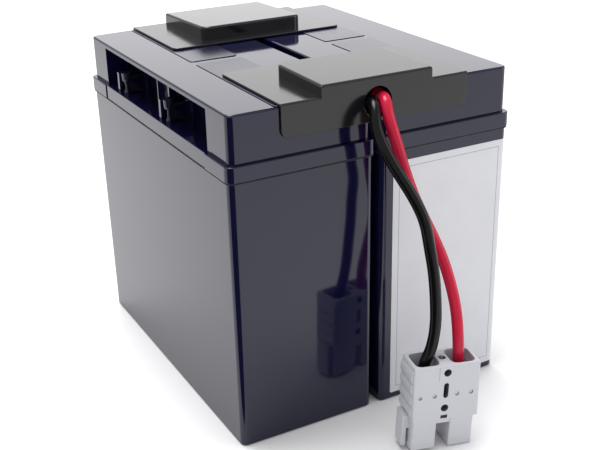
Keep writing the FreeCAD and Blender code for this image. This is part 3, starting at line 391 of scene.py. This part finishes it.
# The eroded grain, 0.1 mm in the mould, is drawn at 0.6 mm so that it shows.
grey_plastic = moulded_plastic("light grey polycarbonate, satin", "#b9b9bf", roughness=0.36,
                               wave_size=0.02, wave_height=0.00002,
                               grain_size=0.0006, grain_height=0.00001)
# A darker copy of the grey: painted shade for the bores and the dimples' walls.
bore_shade_plastic = moulded_plastic("light grey polycarbonate, painted bore shade", "#5e5e69",
                                roughness=0.5, wave_size=0.02, wave_height=0.00002,
                                grain_size=0.0006, grain_height=0.00001)
housing = softened("connector_housing", housing_edge, near_sides, housing_edge, grey_plastic)
housing.data.materials.append(bore_shade_plastic)
own_place = connector_stand.inverted()
own_turn = own_place.to_3x3()
for face in housing.data.polygons:
    across, deep, up = own_place @ face.center
    facing = own_turn @ face.normal
    in_spine = (abs(across) < spine_half_width and abs(deep) < spine_half_depth
                and bore_low < up < spine_top)
    in_barrel = (abs(across) < barrel_half_width and abs(deep) < barrel_half_depth
                 and bore_low < up < pocket_floor)
    in_dimple = (abs(across) < dimple_half_width and dimple_front < deep < dimple_back
                 and bore_low < up < pocket_floor and abs(facing.y) < wall_share)
    # Faces in the bores and on the dimples' walls take the darker grey, painted shade.
    if in_spine or in_barrel or in_dimple:
        face.material_index = 1


def growth(name, inputs):
    """A geometry tree that makes a piece from its named inputs, and its input node."""
    tree = bpy.data.node_groups.new(name, "GeometryNodeTree")
    tree.interface.new_socket("Geometry", in_out="OUTPUT", socket_type="NodeSocketGeometry")
    for label, kind in inputs:
        tree.interface.new_socket(label, in_out="INPUT", socket_type=kind)
    return tree, add_node(tree, "NodeGroupInput")


def grow(name, tree, values, place):
    """Makes the piece of a geometry tree and puts it in its place."""
    seed = bpy.data.objects.new(name + "_seed", bpy.data.meshes.new(name + "_seed"))
    bpy.context.scene.collection.objects.link(seed)
    grower = seed.modifiers.new("growth", "NODES")
    grower.node_group = tree
    for socket in tree.interface.items_tree:
        if socket.in_out == "INPUT":
            grower[socket.identifier] = values[socket.name]
    graph = bpy.context.evaluated_depsgraph_get()
    data = bpy.data.meshes.new_from_object(seed.evaluated_get(graph), depsgraph=graph)
    bpy.data.objects.remove(seed)
    data.transform(place)
    piece = bpy.data.objects.new(name, data)
    bpy.context.scene.collection.objects.link(piece)
    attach(piece, "root")
    return piece


def ridge_tree():
    """Rounded bars in a row up each side of the housing."""
    tree, given = growth("grip ridges", [
        ("Left low", "NodeSocketVector"), ("Left high", "NodeSocketVector"),
        ("Right low", "NodeSocketVector"), ("Right high", "NodeSocketVector"),
        ("Count", "NodeSocketInt"), ("Radius", "NodeSocketFloat"),
        ("Length", "NodeSocketFloat"), ("Material", "NodeSocketMaterial")])
    bar = add_node(tree, "GeometryNodeMeshCylinder", {"Vertices": 20},
                   [("Radius", given, "Radius"), ("Depth", given, "Length")])
    laid = add_node(tree, "GeometryNodeTransform",
                    {"Rotation": (math.radians(90), 0.0, 0.0),
                     "Scale": (ridge_flattening, 1.0, 1.0)},
                    [("Geometry", bar, "Mesh")])
    rows = []
    for side in ("Left", "Right"):
        row = add_node(tree, "GeometryNodeMeshLine", {"mode": "END_POINTS"},
                       [("Count", given, "Count"), ("Start Location", given, side + " low"),
                        ("Offset", given, side + " high")])
        rows.append(add_node(tree, "GeometryNodeInstanceOnPoints", {},
                             [("Points", row, "Mesh"), ("Instance", laid, "Geometry")]))
    both = add_node(tree, "GeometryNodeJoinGeometry", {},
                    [("Geometry", row, "Instances") for row in rows])
    real = add_node(tree, "GeometryNodeRealizeInstances", {}, [("Geometry", both, "Geometry")])
    faced = add_node(tree, "GeometryNodeSetMaterial", {},
                     [("Geometry", real, "Geometry"), ("Material", given, "Material")])
    add_node(tree, "NodeGroupOutput", {}, [("Geometry", faced, "Geometry")])
    return tree


ridges = grow("connector_grip_ridges", ridge_tree(),
              {**ridge_rows, "Count": ridge_count, "Radius": ridge_radius,
               "Length": ridge_length, "Material": grey_plastic},
              connector_stand)
ridges.data.set_sharp_from_angle(angle=smooth_angle)

# Conductors. Each lead's insulation stops at its two crimp barrels, and nineteen tinned
# copper strands, twisted together, run on into them. They fill the wider barrel of a contact
# and are pressed closer in that of a lug.
strand_points = 24
strand_sides = 8
strand_twist = 60.0       # radians of turn for each metre
tarnish_size = 0.0015


def strand_tree():
    """One strand in the middle and two rings round it, twisted about the lead's own line."""
    tree, given = growth("twisted strands", [
        ("Strand radius", "NodeSocketFloat"), ("Pitch", "NodeSocketFloat"),
        ("Length", "NodeSocketFloat"), ("Twist", "NodeSocketFloat"),
        ("Material", "NodeSocketMaterial")])
    far = add_node(tree, "ShaderNodeCombineXYZ", {}, [("Z", given, "Length")])
    line = add_node(tree, "GeometryNodeCurvePrimitiveLine", {}, [("End", far, "Vector")])
    fine = add_node(tree, "GeometryNodeResampleCurve", {"Count": strand_points},
                    [("Curve", line, "Curve")])
    ring = add_node(tree, "GeometryNodeCurvePrimitiveCircle", {"Resolution": strand_sides},
                    [("Radius", given, "Strand radius")])
    strand = add_node(tree, "GeometryNodeCurveToMesh", {"Fill Caps": True},
                      [("Curve", fine, "Curve"), ("Profile Curve", ring, "Curve")])
    middle = add_node(tree, "GeometryNodePoints", {"Count": 1})
    double = add_node(tree, "ShaderNodeMath", {"operation": "MULTIPLY", 1: 2.0},
                      [(0, given, "Pitch")])
    inner = add_node(tree, "GeometryNodeMeshCircle", {"Vertices": 6},
                     [("Radius", given, "Pitch")])
    outer = add_node(tree, "GeometryNodeMeshCircle", {"Vertices": 12},
                     [("Radius", double, "Value")])
    lay = add_node(tree, "GeometryNodeJoinGeometry", {},
                   [("Geometry", middle, "Geometry"), ("Geometry", inner, "Mesh"),
                    ("Geometry", outer, "Mesh")])
    laid = add_node(tree, "GeometryNodeInstanceOnPoints", {},
                    [("Points", lay, "Geometry"), ("Instance", strand, "Mesh")])
    real = add_node(tree, "GeometryNodeRealizeInstances", {}, [("Geometry", laid, "Instances")])
    place = add_node(tree, "GeometryNodeInputPosition")
    height = add_node(tree, "ShaderNodeSeparateXYZ", {}, [("Vector", place, "Position")])
    angle = add_node(tree, "ShaderNodeMath", {"operation": "MULTIPLY"},
                     [(0, height, "Z"), (1, given, "Twist")])
    turned = add_node(tree, "ShaderNodeVectorRotate", {"rotation_type": "Z_AXIS"},
                      [("Vector", place, "Position"), ("Angle", angle, "Value")])
    twisted = add_node(tree, "GeometryNodeSetPosition", {},
                       [("Geometry", real, "Geometry"), ("Position", turned, "Vector")])
    faced = add_node(tree, "GeometryNodeSetMaterial", {},
                     [("Geometry", twisted, "Geometry"), ("Material", given, "Material")])
    add_node(tree, "NodeGroupOutput", {}, [("Geometry", faced, "Geometry")])
    return tree


strands = strand_tree()
# Tinned copper: bright, with a slow warm tarnish along the strands.
strand_copper = new_material("tinned copper strands")
place = add_node(strand_copper.node_tree, "ShaderNodeTexCoord")
tarnish = add_node(strand_copper.node_tree, "ShaderNodeTexNoise",
                   {"Scale": 1 / tarnish_size, "Detail": 2.0}, [("Vector", place, "Object")])
tone = add_node(strand_copper.node_tree, "ShaderNodeMixRGB",
                {"Color1": linear("#d0c9c0"), "Color2": linear("#b9a996")},
                [("Fac", tarnish, "Fac")])
skin = add_node(strand_copper.node_tree, "ShaderNodeBsdfPrincipled",
                {"Metallic": 1.0, "Roughness": 0.3}, [("Base Color", tone, "Color")])
add_node(strand_copper.node_tree, "ShaderNodeOutputMaterial", {}, [("Surface", skin, "BSDF")])
for colour, route, length, material in lead_runs:
    # end, its first two points, depth in the barrel, strand radius, pitch of the rings
    for end, points, depth, radius, pitch in (
            ("lug", route[:2], 0.006, 0.00026, 0.00053),
            ("contact", route[:-3:-1], 0.011, 0.00038, 0.0008)):
        start, after = (Vector(p) * millimetre for p in points)
        heading = (start - after).to_track_quat("Z", "Y").to_matrix().to_4x4()
        grow(colour + "_" + end + "_strands", strands,
             {"Strand radius": radius, "Pitch": pitch, "Length": depth, "Twist": strand_twist,
              "Material": strand_copper}, Matrix.Translation(start) @ heading)

# Weld joint. Where each lid is welded on its jar, a thin dull bead stands under the lid's band,
# all the way round the block. Its dark colour is painted shade of the narrow gap at the joint.
bead_radius = 0.00035
bead_inset = 0.0005       # from the band's face to the middle of the bead
bead_corner = 0.0035
bead_height = 0.13635
bead_sides = 10
corner_steps = 6


def bead_tree():
    """A round bead along a rectangle with rounded corners."""
    tree, given = growth("weld bead", [
        ("Width", "NodeSocketFloat"), ("Length", "NodeSocketFloat"),
        ("Corner", "NodeSocketFloat"), ("Bead radius", "NodeSocketFloat"),
        ("Material", "NodeSocketMaterial")])
    outline = add_node(tree, "GeometryNodeCurvePrimitiveQuadrilateral", {},
                       [("Width", given, "Width"), ("Height", given, "Length")])
    rounded = add_node(tree, "GeometryNodeFilletCurve", {"mode": "POLY", "Count": corner_steps},
                       [("Curve", outline, "Curve"), ("Radius", given, "Corner")])
    ring = add_node(tree, "GeometryNodeCurvePrimitiveCircle", {"Resolution": bead_sides},
                    [("Radius", given, "Bead radius")])
    bead = add_node(tree, "GeometryNodeCurveToMesh", {},
                    [("Curve", rounded, "Curve"), ("Profile Curve", ring, "Curve")])
    real = add_node(tree, "GeometryNodeRealizeInstances", {}, [("Geometry", bead, "Mesh")])
    faced = add_node(tree, "GeometryNodeSetMaterial", {},
                     [("Geometry", real, "Geometry"), ("Material", given, "Material")])
    add_node(tree, "NodeGroupOutput", {}, [("Geometry", faced, "Geometry")])
    return tree


# The bead's dark, dull colour is painted shade of the gap between lid and jar.
weld_joint_shade = moulded_plastic("dark navy ABS, weld joint with painted shade", "#06060c", roughness=0.6,
                             wave_size=0.01, wave_height=0.00002,
                             grain_size=0.0005, grain_height=0.00001)
beads = bead_tree()
for side in sides:
    low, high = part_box(side + "_lid")
    middle = ((low[0] + high[0]) / 2, (low[1] + high[1]) / 2, bead_height)
    bead = grow(side + "_weld_joint_shade", beads,
                {"Width": high[0] - low[0] - 2 * bead_inset,
                 "Length": high[1] - low[1] - 2 * bead_inset,
                 "Corner": bead_corner, "Bead radius": bead_radius, "Material": weld_joint_shade},
                Matrix.Translation(middle))
    bead.data.set_sharp_from_angle(angle=smooth_angle)

# Front label. A bare silver-white polyester film, stuck on the jar, with one thin printed
# frame line near its edge and a slow, faint mottling.
label_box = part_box("front_label")
frame_inset = 0.0035
frame_line = 0.00028
mottle_size = 0.012


def label_material():
    """Satin film. The frame line is where a point's distance from a rectangle is small."""
    material = new_material("silver-white polyester film")
    tree = material.node_tree
    place = add_node(tree, "ShaderNodeTexCoord")
    axes = add_node(tree, "ShaderNodeSeparateXYZ", {}, [("Vector", place, "Object")])
    reach = []
    for axis, index in (("X", 0), ("Z", 2)):
        low, high = label_box[0][index], label_box[1][index]
        shift = add_node(tree, "ShaderNodeMath", {"operation": "SUBTRACT", 1: (low + high) / 2},
                         [(0, axes, axis)])
        side = add_node(tree, "ShaderNodeMath", {"operation": "ABSOLUTE"}, [(0, shift, "Value")])
        reach.append(add_node(tree, "ShaderNodeMath",
                              {"operation": "SUBTRACT", 1: (high - low) / 2 - frame_inset},
                              [(0, side, "Value")]))
    outline = add_node(tree, "ShaderNodeMath", {"operation": "MAXIMUM"},
                       [(0, reach[0], "Value"), (1, reach[1], "Value")])
    near = add_node(tree, "ShaderNodeMath", {"operation": "ABSOLUTE"}, [(0, outline, "Value")])
    line = add_node(tree, "ShaderNodeMath", {"operation": "LESS_THAN", 1: frame_line / 2},
                    [(0, near, "Value")])
    mottle = add_node(tree, "ShaderNodeTexNoise", {"Scale": 1 / mottle_size, "Detail": 2.0},
                      [("Vector", place, "Object")])
    film = add_node(tree, "ShaderNodeMixRGB",
                    {"Color1": linear("#c4c5c9"), "Color2": linear("#cccdd1")},
                    [("Fac", mottle, "Fac")])
    print_mix = add_node(tree, "ShaderNodeMixRGB", {"Color2": linear("#7d7f85")},
                         [("Fac", line, "Value"), ("Color1", film, "Color")])
    bump = add_node(tree, "ShaderNodeBump", {"Strength": 0.3, "Distance": 0.00002},
                    [("Height", mottle, "Fac")])
    skin = add_node(tree, "ShaderNodeBsdfPrincipled", {"Roughness": 0.35},
                    [("Base Color", print_mix, "Color"), ("Normal", bump, "Normal")])
    add_node(tree, "ShaderNodeOutputMaterial", {}, [("Surface", skin, "BSDF")])
    return material


dress(label_material(), "front_label")

# Foam and tape. Black closed-cell foam strips between the two blocks, and foam tape strips
# that hold the covers on the lids. Both are pitted and dull.
drift_cells = 12          # a change of colour is this many cells long


def cellular(name, colour, shade, cell, depth, roughness):
    """Closed cells as small pits, with a slow change of colour."""
    material = new_material(name)
    tree = material.node_tree
    place = add_node(tree, "ShaderNodeTexCoord")
    cells = add_node(tree, "ShaderNodeTexVoronoi", {"Scale": 1 / cell},
                     [("Vector", place, "Object")])
    drift = add_node(tree, "ShaderNodeTexNoise",
                     {"Scale": 1 / (drift_cells * cell), "Detail": 2.0},
                     [("Vector", place, "Object")])
    mix = add_node(tree, "ShaderNodeMixRGB", {"Color1": linear(colour), "Color2": linear(shade)},
                   [("Fac", drift, "Fac")])
    bump = add_node(tree, "ShaderNodeBump", {"Strength": 0.8, "Distance": depth},
                    [("Height", cells, "Distance")])
    skin = add_node(tree, "ShaderNodeBsdfPrincipled", {"Roughness": roughness},
                    [("Base Color", mix, "Color"), ("Normal", bump, "Normal")])
    add_node(tree, "ShaderNodeOutputMaterial", {}, [("Surface", skin, "BSDF")])
    return material


dress(cellular("closed-cell polyethylene foam", "#131315", "#1c1c1e", cell=0.0006,
               depth=0.00015, roughness=0.8),
      "foam_strips", "front_cover_tape", "rear_cover_tape")

# Inside the jars. Pasted plates in brown lead dioxide and grey spongy lead, with white
# glass mats between them, and rubber caps on the vents. The paste's grains and the mats'
# fibres are drawn coarser than the real ones, so that they show.
dress(cellular("pasted lead dioxide, matt", "#3b2620", "#4a3026", cell=0.0012,
               depth=0.0001, roughness=0.75),
      "left_positive_plates", "right_positive_plates")
dress(cellular("pasted spongy lead, matt", "#55575b", "#63656a", cell=0.0012,
               depth=0.0001, roughness=0.6),
      "left_negative_plates", "right_negative_plates")
dress(cellular("absorbent glass mat", "#dededa", "#e8e8e4", cell=0.0004,
               depth=0.0001, roughness=0.9),
      "left_separators", "right_separators")
dress(cellular("moulded EPDM rubber", "#151516", "#1b1b1c", cell=0.0003,
               depth=0.00001, roughness=0.5),
      "left_valve_caps", "right_valve_caps")

# Terminals and seals. Dull tin over cast lead, set in dark potted resin that still shows
# where it flowed. The marks of handling are drawn at 0.6 mm so that they show.
stain_size = 0.003


def worked_metal(name, colour, shade, roughness, mark, stretch, depth):
    """Metal with fine marks drawn out along one axis and slow stains in its gloss."""
    material = new_material(name)
    tree = material.node_tree
    place = add_node(tree, "ShaderNodeTexCoord")
    drawn = add_node(tree, "ShaderNodeMapping", {"Scale": stretch}, [("Vector", place, "Object")])
    marks = add_node(tree, "ShaderNodeTexNoise", {"Scale": 1 / mark, "Detail": 3.0},
                     [("Vector", drawn, "Vector")])
    stains = add_node(tree, "ShaderNodeTexNoise", {"Scale": 1 / stain_size, "Detail": 3.0},
                      [("Vector", place, "Object")])
    mix = add_node(tree, "ShaderNodeMixRGB", {"Color1": linear(colour), "Color2": linear(shade)},
                   [("Fac", stains, "Fac")])
    gloss = add_node(tree, "ShaderNodeMapRange",
                     {"To Min": roughness * 0.75, "To Max": roughness * 1.3},
                     [("Value", stains, "Fac")])
    bump = add_node(tree, "ShaderNodeBump", {"Strength": 0.5, "Distance": depth},
                    [("Height", marks, "Fac")])
    skin = add_node(tree, "ShaderNodeBsdfPrincipled", {"Metallic": 1.0},
                    [("Base Color", mix, "Color"), ("Roughness", gloss, "Result"),
                     ("Normal", bump, "Normal")])
    add_node(tree, "ShaderNodeOutputMaterial", {}, [("Surface", skin, "BSDF")])
    return material


dress(worked_metal("dull tin over cast lead", "#b4b4b6", "#9b9b9e", roughness=0.42,
                   mark=0.0006, stretch=(1.0, 1.0, 0.2), depth=0.00002),
      "left_negative_terminal", "left_positive_terminal", "right_negative_terminal",
      "right_positive_terminal")
dress(moulded_plastic("dark potted epoxy", "#1d1a1c", roughness=0.12, wave_size=0.004,
                      wave_height=0.0001, grain_size=0.0012, grain_height=0.00001),
      "left_terminal_seals", "right_terminal_seals")

# Terminal hardware. Zinc-plated M5 bolts, nuts and washers, turned and then tumbled, and
# tinned copper lugs under shrunk sleeves. The turning and drawing marks, a tenth of a
# millimetre apart, are drawn at about 0.4 mm so that they show.
dress(worked_metal("zinc-plated steel", "#c9ccd0", "#b6babf", roughness=0.26,
                   mark=0.0004, stretch=(0.25, 1.0, 1.0), depth=0.000008),
      "terminal_bolts", "terminal_nuts", "terminal_washers")
tinned_copper = worked_metal("tin-plated copper", "#d2cfc9", "#c2beb6", roughness=0.3,
                             mark=0.0005, stretch=(1.0, 0.2, 1.0), depth=0.00001)
dress(tinned_copper, "black_lug", "red_lug", "jumper_lugs")
dress(black_insulation, "jumper_cable", "jumper_sleeves", "black_lug_sleeve")
dress(red_insulation, "red_lug_sleeve")

# Connector contacts. Silver-plated copper blades with crimped barrels, each pressed by a
# bowed stainless spring.
dress(worked_metal("silver-plated copper", "#e2dfd8", "#d3cec4", roughness=0.22,
                   mark=0.0004, stretch=(1.0, 1.0, 0.2), depth=0.000008),
      "black_contact", "red_contact")
dress(worked_metal("stainless spring strip", "#bfc0c2", "#b0b1b4", roughness=0.2,
                   mark=0.0003, stretch=(1.0, 1.0, 0.15), depth=0.000006),
      "contact_springs")
